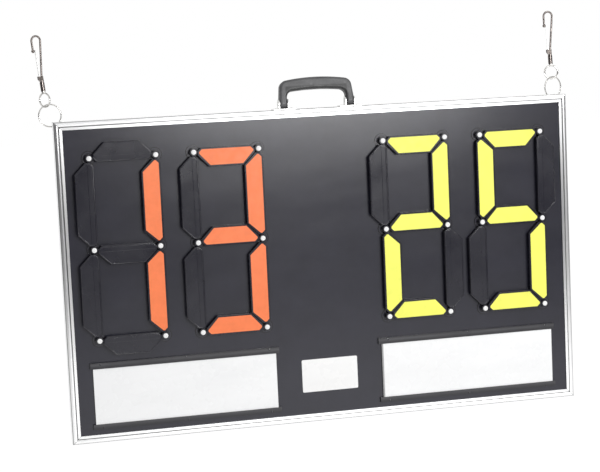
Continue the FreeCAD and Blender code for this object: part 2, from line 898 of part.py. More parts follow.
def handle_brackets():
    """Pressed steel brackets with two ears each, riveted to the top rail."""
    body = shape_for("handle_bracket_shape")
    reach = tab_centre + s.bracket_tab / 2
    plate = sketch_on(body, "XY_Plane", "plate")
    rectangle(plate, -reach, -s.bracket_depth / 2, reach, s.bracket_depth / 2)
    pad(body, plate, s.bracket_plate)
    for name, lift in (("inner_ear", -(ear_inside + s.bracket_ear)), ("outer_ear", ear_inside)):
        ear = sketch_on(body, "YZ_Plane", name, lift)
        outline(ear, [
            (s.ear_radius, 0), (s.ear_radius, pivot_rise, 0, pivot_rise + s.ear_radius),
            (-s.ear_radius, pivot_rise), (-s.ear_radius, 0),
        ])
        pad(body, ear, s.bracket_ear)
    bores = sketch_on(body, "YZ_Plane", "bores")
    circle(bores, 0, pivot_rise, s.handle_pin_radius + s.handle_pin_play)
    pocket(body, bores, both=True)
    holes = sketch_on(body, "XY_Plane", "holes")
    for side in (-1, 1):
        circle(holes, tab_centre * side, 0, s.bracket_rivet_radius + s.hole_play)
    pocket(body, holes, both=True)
    copies("handle_brackets", body, [(leg_centre * side, 0, s.board_height) for side in (-1, 1)])


def handle_pins():
    body = shape_for("handle_pin_shape")
    grip = ear_inside + s.bracket_ear
    head = grip + s.pin_head_height
    drawn = sketch_on(body, "XY_Plane", "section")
    outline(drawn, [
        (-head, 0),
        (-head, s.handle_pin_radius),
        (-grip - s.pin_head_height / 2, s.pin_head_radius),
        (-grip, s.pin_head_radius),
        (-grip, s.handle_pin_radius),
        (grip, s.handle_pin_radius),
        (grip, s.pin_head_radius),
        (grip + s.pin_head_height / 2, s.pin_head_radius),
        (head, s.handle_pin_radius),
        (head, 0),
    ])
    revolve(body, drawn, "H_Axis")
    up = s.board_height + pivot_rise
    copies("handle_pins", body, [(leg_centre * side, 0, up) for side in (-1, 1)])


def bracket_rivets():
    body = shape_for("bracket_rivet_shape")
    drawn = sketch_on(body, "XZ_Plane", "section")
    top = s.bracket_plate
    outline(drawn, [
        (0, top + s.bracket_rivet_rise),
        (0, -s.outer_wall - s.blind_head_height),
        (s.blind_head_radius, -s.outer_wall - s.blind_head_height / 2),
        (s.blind_head_radius, -s.outer_wall),
        (s.bracket_rivet_radius, -s.outer_wall),
        (s.bracket_rivet_radius, top),
        (s.bracket_rivet_head, top),
        (s.bracket_rivet_head, top + s.bracket_rivet_rise / 2),
    ])
    revolve(body, drawn)
    copies("bracket_rivets", body, [(across, 0, s.board_height) for across in bracket_rivet_places()])


def wire_ring(body, role, name, lift, across, up, wire, axis):
    """A round wire turned into a closed ring about one of the sketch's axes."""
    drawn = sketch_on(body, role, name, lift)
    circle(drawn, across, up, wire)
    revolve(body, drawn, axis)


def hanger_eyes():
    """Screw eyes that stand out behind the frame, with their loops square to the board."""
    body = shape_for("hanger_eye_shape")
    wire_ring(body, "XY_Plane", "loop", 0, 0, s.eye_radius, s.eye_wire, "H_Axis")
    back = -s.eye_reach
    drawn = sketch_on(body, "XY_Plane", "shank")
    outline(drawn, [
        (0, -s.eye_radius),
        (0, back - s.eye_grip),
        (s.eye_shank, back - s.eye_grip),
        (s.eye_shank, back),
        (s.eye_collar, back),
        (s.eye_collar, back + s.eye_collar_height / 2),
        (s.eye_shank, back + s.eye_collar_height),
        (s.eye_neck, -s.eye_radius),
    ])
    revolve(body, drawn)
    copies("hanger_eyes", body, [(eye_across * side, eye_back, eye_up) for side in (-1, 1)])


def chain(name, side):
    """Where one hanging chain lies: the placements of its ring, its swivel eye and its hook with the gate."""
    angles = ("ring_turn", "ring_lean", "swivel_turn", "hook_turn", "hook_lean")
    ring_turn, ring_lean, swivel_turn, hook_turn, hook_lean = [
        amount_of(getattr(s, f"{name}_{angle}")) for angle in angles
    ]
    in_ring = about_z(ring_turn).multiply(about_y(-ring_lean))
    to_seat = s.eye_radius - s.eye_wire - s.ring_wire - s.link_gap
    to_link = s.ring_radius - s.ring_wire - s.swivel_wire - s.link_gap
    seat = Vector(amount_of(eye_across) * side, amount_of(eye_back), amount_of(eye_up + to_seat))
    centre = seat + in_ring.multVec(Vector(0, 0, amount_of(s.ring_radius)))
    link = centre + in_ring.multVec(Vector(0, 0, amount_of(to_link)))
    lean = about_y(-hook_lean)
    swivel = Placement(link, lean.multiply(about_z(swivel_turn)))
    return Placement(centre, about_z(ring_turn)), swivel, Placement(link, lean.multiply(about_z(hook_turn)))


def link_ring(label, place_in_chain):
    body = body_for(label)
    wire_ring(body, "XY_Plane", "ring", 0, s.ring_radius, 0, s.ring_wire, "V_Axis")
    body.Placement = place_in_chain


def swivel_eye(label, place_in_chain):
    """A round eye whose headed stem turns in the hook's barrel."""
    body = body_for(label)
    wire_ring(body, "XY_Plane", "eye", s.swivel_radius, s.swivel_radius, 0, s.swivel_wire, "V_Axis")
    eye_top = s.swivel_radius * 2
    neck_top = eye_top + s.neck_height
    head = barrel_start + s.barrel_floor + s.head_play
    drawn = sketch_on(body, "XZ_Plane", "stem")
    outline(drawn, [
        (0, eye_top),
        (s.swivel_wire, eye_top),
        (s.neck_radius, neck_top - s.neck_height / 2),
        (s.neck_radius, neck_top),
        (s.stem_radius, neck_top),
        (s.stem_radius, head),
        (s.stem_head_radius, head),
        (s.stem_head_radius, head + s.stem_head_height),
        (0, head + s.stem_head_height),
    ])
    revolve(body, drawn)
    body.Placement = place_in_chain


def hook_path(drawn):
    """The hook's bent wire: a slanting leg, a half round over the top and a short straight end."""
    centre = flat(s.hook_offset, s.hook_height)
    radius = amount_of(s.hook_radius)
    start = flat(0, barrel_end - s.hook_wire)
    sight = centre - start
    bearing = math.atan2(sight.y, sight.x)
    slant = bearing - math.asin(radius / sight.Length)
    touch = centre + Vector(radius * math.sin(slant), -radius * math.cos(slant), 0)
    left = centre - Vector(radius, 0, 0)
    end = flat(s.hook_offset - s.hook_radius, s.hook_end)
    leg = drawn.addGeometry(Part.LineSegment(start, touch), False)
    bow = drawn.addGeometry(Part.Arc(touch, centre + Vector(0, radius, 0), left), False)
    tail = drawn.addGeometry(Part.LineSegment(left, end), False)
    pin(drawn, leg, 1, 0, barrel_end - s.hook_wire)
    pin(drawn, bow, 3, s.hook_offset, s.hook_height)
    tie = drawn.addConstraint(Sketcher.Constraint("Radius", bow, radius))
    bind(drawn, f"Constraints[{tie}]", s.hook_radius)
    drawn.addConstraint(Sketcher.Constraint("Tangent", leg, 2, bow, 1))
    drawn.addConstraint(Sketcher.Constraint("Tangent", bow, 2, tail, 1))
    drawn.addConstraint(Sketcher.Constraint("Vertical", tail))
    tie = drawn.addConstraint(Sketcher.Constraint("DistanceY", tail, 2, amount_of(s.hook_end)))
    bind(drawn, f"Constraints[{tie}]", s.hook_end)


def hook(label, place_in_chain):
    """A snap hook: a barrel that turns on the stem, a bent wire, and a yoke with the gate's pin."""
    body = body_for(label)
    floor_top = barrel_start + s.barrel_floor
    chamber_top = floor_top + s.barrel_chamber
    chamber_radius = s.stem_head_radius + s.head_play
    band = barrel_start + s.barrel_band
    collar = barrel_end - s.barrel_band
    drawn = sketch_on(body, "XZ_Plane", "barrel")
    outline(drawn, [
        (s.stem_radius + s.stem_play, barrel_start),
        (s.barrel_radius, barrel_start),
        (s.barrel_radius, collar),
        (s.barrel_waist, collar),
        (s.barrel_waist, barrel_end),
        (0, barrel_end),
        (0, chamber_top),
        (chamber_radius, chamber_top),
        (chamber_radius, floor_top),
        (s.stem_radius + s.stem_play, floor_top),
    ])
    revolve(body, drawn)
    yoke_top = barrel_end + s.yoke_height
    yoke = sketch_on(body, "XZ_Plane", "yoke")
    outline(yoke, [
        (-s.barrel_waist, barrel_end - s.yoke_slot_floor),
        (s.yoke_right, barrel_end - s.yoke_slot_floor),
        (s.yoke_right, yoke_top),
        (-s.yoke_left, yoke_top),
        (-s.yoke_left, barrel_end + s.yoke_slot_floor),
    ])
    pad(body, yoke, s.yoke_width, both=True)
    path = sketch_on(body, "XZ_Plane", "path")
    hook_path(path)
    section = sketch_on(body, "XY_Plane", "wire", barrel_end - s.hook_wire)
    circle(section, 0, 0, s.hook_wire)
    pipe = body.newObject("PartDesign::AdditivePipe", f"{body.Name}_bent_wire")
    pipe.Profile = section
    pipe.Spine = (path, ["Edge1", "Edge2", "Edge3"])
    slot = sketch_on(body, "XZ_Plane", "slot")
    slot_floor = barrel_end + s.yoke_slot_floor
    rectangle(slot, -(s.yoke_left + s.overrun), slot_floor, -s.yoke_slot_side, yoke_top + s.overrun)
    pocket(body, slot, s.gate_width + s.gate_side_play * 2, both=True)
    gate_pin = sketch_on(body, "XZ_Plane", "gate_pin")
    circle(gate_pin, -s.gate_pivot_side, gate_pivot_up, s.gate_pin)
    pad(body, gate_pin, s.yoke_width, both=True)
    knob = body.newObject("PartDesign::AdditiveSphere", f"{body.Name}_knob")
    knob.AttachmentSupport = [(origin_plane(body, "XY_Plane"), "")]
    knob.MapMode = "FlatFace"
    bind(knob, "Radius", s.knob_radius)
    bind(knob, "AttachmentOffset.Base.x", s.hook_offset - s.hook_radius)
    bind(knob, "AttachmentOffset.Base.z", s.hook_end)
    body.Placement = place_in_chain


def gate(label, hook_place):
    """The hook's spring gate: a narrow strip with an eye round the yoke's pin."""
    body = body_for(label)
    strip = sketch_on(body, "XZ_Plane", "strip")
    rectangle(strip, -s.gate_thickness / 2, 0, s.gate_thickness / 2, s.gate_length)
    pad(body, strip, s.gate_width, both=True)
    eye = sketch_on(body, "XZ_Plane", "eye")
    circle(eye, 0, 0, s.gate_eye)
    pad(body, eye, s.gate_width, both=True)
    bore = sketch_on(body, "XZ_Plane", "bore")
    circle(bore, 0, 0, s.gate_pin + s.gate_pin_play)
    pocket(body, bore, both=True)
    pivot = Vector(-amount_of(s.gate_pivot_side), 0, amount_of(gate_pivot_up))
    body.Placement = hook_place.multiply(Placement(pivot, Rotation()))


def check():
    """Stops where a feature has failed or a sub-part's shape is missing or broken."""
    for item in doc.Objects:
        if "Invalid" in item.State or "Error" in item.State:
            raise RuntimeError(f"{item.Label} has failed: {item.State}")
    for label, item in nodes.items():
        if item.Shape.isNull() or not item.Shape.isValid():
            raise RuntimeError(f"{label} has no valid shape")


rail("frame_top", s.board_width, s.board_height / 2, 0)
rail("frame_bottom", s.board_width, s.board_height / 2, 0)
rail("frame_left", s.board_height, s.board_width / 2, 1)
rail("frame_right", s.board_height, s.board_width / 2, -1)
corner_keys()
corner_screws()
panel()
hubs()
hub_screws()
flaps()
name_plates()
channel_rivets()
rounded_plate(
    "label_plate", s.label_width / 2, s.label_low_edge, s.label_low_edge + s.label_height,
    panel_front, s.label_thickness, s.label_corner,
)
handle()
handle_brackets()
handle_pins()
bracket_rivets()
hanger_eyes()
for name, side in (("left", -1), ("right", 1)):
    ring_place, swivel_place, hook_place = chain(name, side)
    link_ring(f"link_ring_{name}", ring_place)
    swivel_eye(f"swivel_eye_{name}", swivel_place)
    hook(f"hook_{name}", hook_place)
    gate(f"gate_{name}", hook_place)

doc.recompute()
check()
os.makedirs("parts", exist_ok=True)
for label, item in nodes.items():
    item.Shape.exportStep(f"parts/{label}.step")
    volume = item.Shape.Volume / CUBIC_MM_IN_CUBIC_CM
    print(f"{label}: {len(item.Shape.Solids)} solids, {volume:.2f} cm3")
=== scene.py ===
import json
import math

import bmesh
import bpy
from mathutils import Matrix, Vector


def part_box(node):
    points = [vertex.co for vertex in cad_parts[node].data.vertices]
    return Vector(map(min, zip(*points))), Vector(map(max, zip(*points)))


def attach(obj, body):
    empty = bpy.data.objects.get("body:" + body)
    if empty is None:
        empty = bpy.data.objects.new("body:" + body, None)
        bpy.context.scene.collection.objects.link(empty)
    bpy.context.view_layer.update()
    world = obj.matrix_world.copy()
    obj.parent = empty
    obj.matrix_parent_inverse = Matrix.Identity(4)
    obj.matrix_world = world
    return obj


# The looks of a portable flip-segment scoreboard, in metres. X points to the viewer's right, Y away from the
# viewer, Z up. The origin is the centre of the bottom rail's underside.

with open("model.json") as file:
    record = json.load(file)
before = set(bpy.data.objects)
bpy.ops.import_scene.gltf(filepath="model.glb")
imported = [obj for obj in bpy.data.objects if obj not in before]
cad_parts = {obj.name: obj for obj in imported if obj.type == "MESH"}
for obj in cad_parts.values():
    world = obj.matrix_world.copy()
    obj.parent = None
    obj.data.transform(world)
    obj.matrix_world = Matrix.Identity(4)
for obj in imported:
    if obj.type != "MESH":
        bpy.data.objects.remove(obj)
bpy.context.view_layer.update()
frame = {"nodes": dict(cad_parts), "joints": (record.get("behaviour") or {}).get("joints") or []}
nodes = frame["nodes"]
MM = 0.001

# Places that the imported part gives. A hub stands where a column of upright hinges meets a row of level ones.
board_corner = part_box("frame_top")[1]
board_half_width = board_corner[0]
board_half_height = board_corner[2] / 2
panel_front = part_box("panel")[0][1]
guest_plate_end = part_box("name_plate_guest")[0][0]
flap_hinges = [joint for joint in frame["joints"] if joint["child"].startswith("flap_")]
upright_hinges = [joint for joint in flap_hinges if abs(joint["axis"][2]) > 0.5]
level_hinges = [joint for joint in flap_hinges if abs(joint["axis"][0]) > 0.5]
hub_columns = sorted({abs(joint["pos_m"][0]) for joint in upright_hinges})
hub_rows = sorted({joint["pos_m"][2] for joint in level_hinges})
segment_width = hub_columns[1] - hub_columns[0]
segment_height = hub_rows[1] - hub_rows[0]


# Camera

def make_camera():
    """A camera at the photograph's place, with its lens in millimetres on a 36 mm wide sensor."""
    right = Vector((0.971344, -0.233172, -0.046057))
    down = Vector((-0.071427, -0.101553, -0.992263))
    forward = Vector((0.226690, 0.967118, -0.115298))
    place = Vector((-0.62848, -2.53128, 0.58964))
    data = bpy.data.cameras.new("photo_camera")
    data.sensor_fit = "HORIZONTAL"
    data.sensor_width = 36.0
    data.lens = 102.694
    data.clip_start = 0.05
    data.clip_end = 60.0
    camera = add_object("photo_camera", data)
    turn = Matrix((right, -down, -forward)).transposed().to_4x4()
    camera.matrix_world = Matrix.Translation(place) @ turn
    bpy.context.scene.camera = camera


# Objects and meshes

def add_object(name, data):
    """Puts an object with the given data in the scene."""
    made = bpy.data.objects.new(name, data)
    bpy.context.scene.collection.objects.link(made)
    return made


def mesh_from(shape, name):
    """Turns a finished bmesh into mesh data."""
    data = bpy.data.meshes.new(name)
    shape.to_mesh(data)
    shape.free()
    return data


def join_rows(shape, rows, closed=False):
    """Joins each row of vertices to the next with a band of faces. A closed row goes all the way round."""
    for first, second in zip(rows, rows[1:]):
        count = len(first)
        for index in range(count if closed else count - 1):
            after = (index + 1) % count
            shape.faces.new((first[index], first[after], second[after], second[index]))


# Node trees

class Nodes:
    """A node tree, with short ways to add nodes and to calculate with their sockets."""

    def __init__(self, tree):
        self.tree = tree

    def add(self, kind, **settings):
        node = self.tree.nodes.new(kind)
        for key, value in settings.items():
            setattr(node, key, value)
        return node

    def link(self, source, target):
        self.tree.links.new(source, target)

    def math(self, operation, first, second=None):
        """One calculation with one or two values. Either may be a socket or a number."""
        node = self.add("ShaderNodeMath", operation=operation)
        for socket, value in zip(node.inputs, (first, second)):
            if value is None:
                continue
            if isinstance(value, (int, float)):
                socket.default_value = value
            else:
                self.link(value, socket)
        return node.outputs["Value"]

    def seen(self):
        """One for rays by which the camera sees, also in a mirror or through glass, and zero for light."""
        rays = self.add("ShaderNodeLightPath")
        direct = self.math("MAXIMUM", rays.outputs["Is Camera Ray"], rays.outputs["Is Glossy Ray"])
        return self.math("MAXIMUM", direct, rays.outputs["Is Transmission Ray"])


class Shader(Nodes):
    """A material's node tree, with short ways to add what the finishes share."""

    def __init__(self, name):
        self.material = bpy.data.materials.new(name)
        self.material.use_nodes = True
        super().__init__(self.material.node_tree)
        self.surface = self.tree.nodes["Principled BSDF"]
        self.coordinates = self.add("ShaderNodeTexCoord").outputs["Object"]

    def set(self, **values):
        """Sets inputs of the surface. An underscore stands for a space in an input's name."""
        for key, value in values.items():
            self.surface.inputs[key.replace("_", " ")].default_value = value

    def axes(self):
        """The piece's own X, Y and Z."""
        split = self.add("ShaderNodeSeparateXYZ")
        self.link(self.coordinates, split.inputs["Vector"])
        return tuple(split.outputs)

    def noise(self, size, detail=3.0, stretch=(1, 1, 1), rough=0.5):
        """Noise with grains of about the given size, on the piece's own coordinates, stretched."""
        mapping = self.add("ShaderNodeMapping")
        mapping.inputs["Scale"].default_value = stretch
        self.link(self.coordinates, mapping.inputs["Vector"])
        texture = self.add("ShaderNodeTexNoise")
        texture.inputs["Scale"].default_value = 1 / size
        texture.inputs["Detail"].default_value = detail
        texture.inputs["Roughness"].default_value = rough
        self.link(mapping.outputs["Vector"], texture.inputs["Vector"])
        return texture.outputs["Fac"]

    def ramp(self, value, low, high, first=0.0, last=1.0):
        """A value mapped from one span to another."""
        mapped = self.add("ShaderNodeMapRange")
        for socket, number in zip(("From Min", "From Max", "To Min", "To Max"), (low, high, first, last)):
            mapped.inputs[socket].default_value = number
        self.link(value, mapped.inputs["Value"])
        return mapped.outputs["Result"]

    def fade(self, value, near, far, most=1.0):
        """A share that falls from the most, while the value is below near, to zero, once it is above far."""
        return self.ramp(value, near, far, most, 0.0)

    def distance(self, value, place):
        """How far a value is from a place."""
        return self.math("ABSOLUTE", self.math("SUBTRACT", value, place))

    def nearest_distance(self, value, places):
        """How far a value is from the nearest of several places."""
        nearest = self.distance(value, places[0])
        for place in places[1:]:
            nearest = self.math("MINIMUM", nearest, self.distance(value, place))
        return nearest

    def blend(self, share, first, second):
        """Two colours mixed by a share. Either may be a socket or a colour."""
        mix = self.add("ShaderNodeMix", data_type="RGBA")
        self.link(share, mix.inputs["Factor"])
        for name, colour in (("A", first), ("B", second)):
            socket = next(item for item in mix.inputs if item.name == name and item.type == "RGBA")
            if isinstance(colour, tuple):
                socket.default_value = (*colour, 1.0)
            else:
                self.link(colour, socket)
        return next(item for item in mix.outputs if item.type == "RGBA")

    def cloudy(self, grains, dark, light, low=0.3, high=0.7):
        """A colour that wanders between two with the grains of a noise."""
        return self.blend(self.ramp(grains, low, high), dark, light)

    def colour(self, socket):
        self.link(socket, self.surface.inputs["Base Color"])

    def gloss(self, grains, least, most, low=0.3, high=0.7):
        """Roughness that wanders between two values with the grains of a noise."""
        self.link(self.ramp(grains, low, high, least, most), self.surface.inputs["Roughness"])

    def bump(self, height, depth):
        """Relief of the given depth. Reliefs stack."""
        node = self.add("ShaderNodeBump")
        node.inputs["Distance"].default_value = depth
        self.link(height, node.inputs["Height"])
        before = self.surface.inputs["Normal"].links
        if before:
            self.link(before[0].from_socket, node.inputs["Normal"])
        self.link(node.outputs["Normal"], self.surface.inputs["Normal"])

    def scratches(self, size, depth, stretch):
        """Hairline scratches that run one way."""
        self.bump(self.ramp(self.noise(size, 2.0, stretch), 0.62, 0.66), depth)


# Finishes

# The middle of the rails' groove, measured in from the board's edge.
GROOVE_MIDDLE = 7.4 * MM
# On a hub's foot, the radius of the ring painted paler as a highlight, and the one where a painted shadow line
# starts.
HIGHLIGHT_RING_RADIUS = 8.6 * MM
SHADOW_LINE_RADIUS = 9.5 * MM
# How far the painted shade under the handle goes to each side of the handle's middle, and up from the ground.
UNDERSIDE_SHADE_REACH = 47 * MM
UNDERSIDE_SHADE_TOP = 515.5 * MM
# The height and the half width of the line painted paler as a highlight along the upper and the lower
# channels.
HIGHLIGHT_LINES = ((118.1 * MM, 3.6 * MM), (26.8 * MM, 4.8 * MM))

# The darkest and the lightest colour of finishes that are used more than once or go together.
FLAP_BLACKS = (0.0094, 0.0090, 0.0165), (0.0140, 0.0134, 0.0215)
HUB_BLACKS = (0.0094, 0.0090, 0.0150), (0.0140, 0.0134, 0.0200)
PLATE_WHITES = (0.90, 0.905, 0.91), (0.95, 0.955, 0.96)


def moulded(name, dark, light, rough, grain, grain_depth, mottle=30 * MM):
    """Moulded plastic: a fine skin, soft flow marks and uneven gloss."""
    made = Shader(name)
    made.colour(made.cloudy(made.noise(mottle, 4.0), dark, light))
    made.gloss(made.noise(mottle * 1.7, 5.0, rough=0.6), rough * 0.82, rough * 1.2, high=0.75)
    made.bump(made.noise(grain, 2.0), grain_depth)
    return made


def aluminium(name, along):
    """Bright anodised extrusion, with fine drawing lines along it, a dark hairline at the mitres, painted
    shade in the groove and a painted dark reflection along the outer edge."""
    made = Shader(name)
    stretch = {"x": (0.02, 1, 1), "z": (1, 1, 0.02)}[along]
    made.set(Metallic=1.0, Anisotropic=0.75)
    lines = made.noise(0.7 * MM, stretch=stretch)
    tone = made.cloudy(lines, (0.80, 0.803, 0.808), (0.91, 0.91, 0.91))
    x, y, z = made.axes()
    from_side = made.math("SUBTRACT", board_half_width, made.math("ABSOLUTE", x))
    from_end = made.math("SUBTRACT", board_half_height, made.distance(z, board_half_height))
    from_edge = from_end if along == "x" else from_side
    seam = made.fade(made.distance(from_side, from_end), 0.15 * MM, 0.5 * MM)
    # Painted shade in the groove and a painted dark reflection along the outer edge, only on faces in front of
    # the panel.
    groove_shade = made.fade(made.distance(from_edge, GROOVE_MIDDLE), 0.5 * MM, 0.7 * MM, most=0.92)
    shoulder_reflection = made.fade(from_edge, 0.0, 1.9 * MM, most=0.9)
    in_front = made.fade(y, panel_front - 0.2 * MM, panel_front + 0.2 * MM)
    painted_shade_and_reflection = made.math("MULTIPLY", in_front, made.math("MAXIMUM", groove_shade, shoulder_reflection))
    made.colour(made.blend(made.math("MAXIMUM", seam, painted_shade_and_reflection), tone, (0.05, 0.05, 0.052)))
    made.gloss(made.noise(20 * MM, 4.0, stretch), 0.24, 0.36)
    made.bump(lines, 0.004 * MM)
    tangent = made.add("ShaderNodeCombineXYZ")
    tangent.inputs["Z" if along == "x" else "X"].default_value = 1.0
    made.link(tangent.outputs["Vector"], made.surface.inputs["Tangent"])
    return made.material


def panel_sheet():
    """Satin black sheet with a fine pebble and faint wiping marks."""
    made = Shader("panel_black_satin")
    cloud = made.noise(60 * MM, 5.0, rough=0.6)
    made.colour(made.cloudy(cloud, (0.0125, 0.0122, 0.0210), (0.0175, 0.0171, 0.0285), low=0.35))
    wiping = made.noise(50 * MM, 5.0, (0.25, 1, 1), rough=0.65)
    made.gloss(wiping, 0.215, 0.265, high=0.75)
    made.bump(made.noise(0.9 * MM, 2.0), 0.03 * MM)
    return made.material


def flap_plastic(name):
    """Glossy black plastic with hairline scratches."""
    made = moulded(name, *FLAP_BLACKS, rough=0.22, grain=1.2 * MM, grain_depth=0.006 * MM)
    made.scratches(1.1 * MM, 0.008 * MM, (1, 1, 0.04))
    return made.material


def hub_plastic():
    """The hubs' black plastic. Each foot has a paler ring painted near its edge as a highlight, and a painted
    shadow line at the edge.
    """
    made = Shader("hub_black_highlight_and_shadow")
    base = made.cloudy(made.noise(8 * MM, 4.0), *HUB_BLACKS)
    x, _, z = made.axes()
    across = made.nearest_distance(made.math("ABSOLUTE", x), hub_columns)
    up = made.nearest_distance(z, hub_rows)
    squares = made.math("ADD", made.math("POWER", across, 2.0), made.math("POWER", up, 2.0))
    radius = made.math("SQRT", squares)
    # Painted highlight: a paler ring on each foot. Painted shadow: a dark line at the foot's edge.
    ring = made.fade(made.distance(radius, HIGHLIGHT_RING_RADIUS), 0.2 * MM, 1.1 * MM)
    pale_wear_and_highlight = made.blend(ring, base, (0.034, 0.033, 0.048))
    edge = made.ramp(radius, SHADOW_LINE_RADIUS, SHADOW_LINE_RADIUS + 0.4 * MM)
    made.colour(made.blend(edge, pale_wear_and_highlight, (0.002, 0.002, 0.002)))
    made.gloss(made.noise(13 * MM, 5.0, rough=0.6), 0.18, 0.264, high=0.75)
    made.bump(made.noise(0.5 * MM, 2.0), 0.01 * MM)
    return made.material


def handle_plastic():
    """Black moulded grip gone grey with use: drawn flow marks, pale rubbed patches, and painted shade on its
    underside."""
    made = Shader("handle_black")
    flow = made.noise(4 * MM, 4.0, (0.12, 1, 0.5), rough=0.6)
    base = made.cloudy(flow, (0.060, 0.060, 0.063), (0.092, 0.092, 0.096), 0.35, 0.65)
    pale_wear_and_highlight = made.ramp(made.noise(13 * MM, 5.0, rough=0.7), 0.62, 0.72, 0.0, 0.5)
    worn = made.blend(pale_wear_and_highlight, base, (0.19, 0.19, 0.195))
    x, _, z = made.axes()
    # Painted shade: the underside between the legs is darkened, where little light reaches.
    low = made.fade(z, UNDERSIDE_SHADE_TOP, UNDERSIDE_SHADE_TOP + 2.1 * MM, most=0.95)
    between_legs = made.fade(made.math("ABSOLUTE", x), UNDERSIDE_SHADE_REACH, UNDERSIDE_SHADE_REACH + 2 * MM)
    made.colour(made.blend(made.math("MULTIPLY", low, between_legs), worn, (0.018, 0.018, 0.019)))
    made.gloss(made.noise(12 * MM, 4.0), 0.34, 0.5)
    made.bump(made.noise(0.7 * MM, 2.0), 0.04 * MM)
    made.bump(flow, 0.05 * MM)
    return made.material


def facing_plastic(name, colour):
    """Bright coloured facing with a soft uneven sheen, a slight haze and hairline scratches."""
    made = Shader(name)
    deep = tuple(channel * 0.95 for channel in colour)
    pale = tuple(min(1.0, channel * 1.04 + 0.004) for channel in colour)
    made.colour(made.cloudy(made.noise(18 * MM, 4.0, rough=0.6), deep, pale, 0.35, 0.65))
    made.gloss(made.noise(10 * MM, 4.0), 0.36, 0.5)
    made.bump(made.noise(0.5 * MM, 2.0), 0.012 * MM)
    made.scratches(0.9 * MM, 0.005 * MM, (0.05, 1, 1))
    return made.material


def channel_plastic():
    """Black channels with a paler line painted along them as a highlight."""
    made = Shader("channel_black")
    base = made.cloudy(made.noise(20 * MM, 4.0), (0.0105, 0.0102, 0.0140), (0.0155, 0.0150, 0.0195))
    z = made.axes()[2]
    # Painted highlight: a paler line along each channel, unevenly bright.
    lines = [made.fade(made.distance(z, middle), 0.0, half) for middle, half in HIGHLIGHT_LINES]
    uneven = made.ramp(made.noise(12 * MM, 4.0, (0.15, 1, 1)), 0.3, 0.6, 0.45, 1.0)
    pale_wear_and_highlight = made.math("MULTIPLY", uneven, made.math("MAXIMUM", *lines))
    made.colour(made.blend(pale_wear_and_highlight, base, (0.062, 0.061, 0.067)))
    made.gloss(made.noise(15 * MM, 4.0), 0.3, 0.4)
    made.bump(made.noise(0.8 * MM, 2.0), 0.01 * MM)
    return made.material


def white_sheet(name, dark, light, grey_end_until=None):
    """Wipe-clean white sheet, faintly smeared. Given an X, it is grey from its left end to that X."""
    made = Shader(name)
    smear = made.noise(40 * MM, 5.0, (0.3, 1, 1), rough=0.6)
    white = made.cloudy(smear, dark, light, low=0.35)
    if grey_end_until:
        # Grey from the plate's left end to the given X.
        grey_end = made.fade(made.axes()[0], grey_end_until, grey_end_until + 0.5 * MM)
        white = made.blend(grey_end, white, (0.33, 0.33, 0.335))
    made.colour(white)
    made.gloss(made.noise(20 * MM, 4.0), 0.2, 0.34)
    made.bump(made.noise(2.5 * MM, 2.0), 0.006 * MM)
    return made.material


def metal(name, dark, light, least, most, size=4 * MM):
    """Plated or cast metal with a cloudy tone, fine pits, and a roughness between the least and the most."""
    made = Shader(name)
    made.set(Metallic=1.0)
    made.colour(made.cloudy(made.noise(size, 4.0, rough=0.6), dark, light))
    made.gloss(made.noise(size * 0.6, 4.0), least, most)
    made.bump(made.noise(size * 0.15, 2.0), 0.008 * MM)
    return made.material


def assign(material, *names):
    """Gives these CAD nodes one material."""
    for name in names:
        data = nodes[name].data
        data.materials.clear()
        data.materials.append(material)


def starting(*starts):
    """The names of the CAD nodes that start with one of these."""
    return [name for name in nodes if name.startswith(starts)]


def finish_nodes():
    """Gives every CAD node its finish."""
    assign(aluminium("aluminium_along_x", "x"), "frame_top", "frame_bottom")
    assign(aluminium("aluminium_along_z", "z"), "frame_left", "frame_right")
    assign(panel_sheet(), "panel")
    assign(hub_plastic(), "hub_bases")
    small_black = moulded(
        "hub_black", *HUB_BLACKS, rough=0.22, grain=0.5 * MM, grain_depth=0.01 * MM, mottle=8 * MM
    )
    assign(small_black.material, "hub_caps", "channel_rivets")
    screw_white = moulded(
        "screw_white", (0.93, 0.93, 0.93), (0.97, 0.97, 0.97),
        rough=0.28, grain=0.5 * MM, grain_depth=0.006 * MM, mottle=4 * MM,
    )
    assign(screw_white.material, "hub_screws")
    assign(flap_plastic("flap_black_gloss"), *starting("flap_"))
    grey_end_until = guest_plate_end + 2.2 * MM
    assign(white_sheet("name_plate_white", *PLATE_WHITES), "name_plate_home")
    assign(white_sheet("name_plate_white_grey_end", *PLATE_WHITES, grey_end_until), "name_plate_guest")
    assign(white_sheet("label_white", (0.91, 0.91, 0.905), (0.95, 0.95, 0.945)), "label_plate")
    assign(channel_plastic(), *starting("channel_home", "channel_guest"))
    assign(handle_plastic(), "handle")
    zinc = metal("zinc_plated", (0.62, 0.62, 0.61), (0.74, 0.74, 0.73), 0.25, 0.4)
    assign(zinc, "corner_screws", "hub_nuts", "handle_brackets", "handle_pins", "gate_left", "gate_right")
    cast = metal("cast_grey", (0.5, 0.5, 0.5), (0.62, 0.62, 0.62), 0.4, 0.55)
    assign(cast, "corner_keys", "bracket_rivets")
    # Worn nickel on the hooks. Its tone is also made far darker than nickel, as a painted dark reflection.
    worn_nickel_painted_dark = metal("nickel_worn_painted_dark", (0.135, 0.117, 0.110), (0.235, 0.211, 0.197), 0.2, 0.32, 3 * MM)
    assign(worn_nickel_painted_dark, "hook_left", "hook_right")
    bright_nickel = metal("nickel_bright", (0.46, 0.45, 0.43), (0.62, 0.61, 0.59), 0.14, 0.26, 3 * MM)
    assign(bright_nickel, *starting("hanger", "link_ring", "swivel_eye"))


# Facings and trays

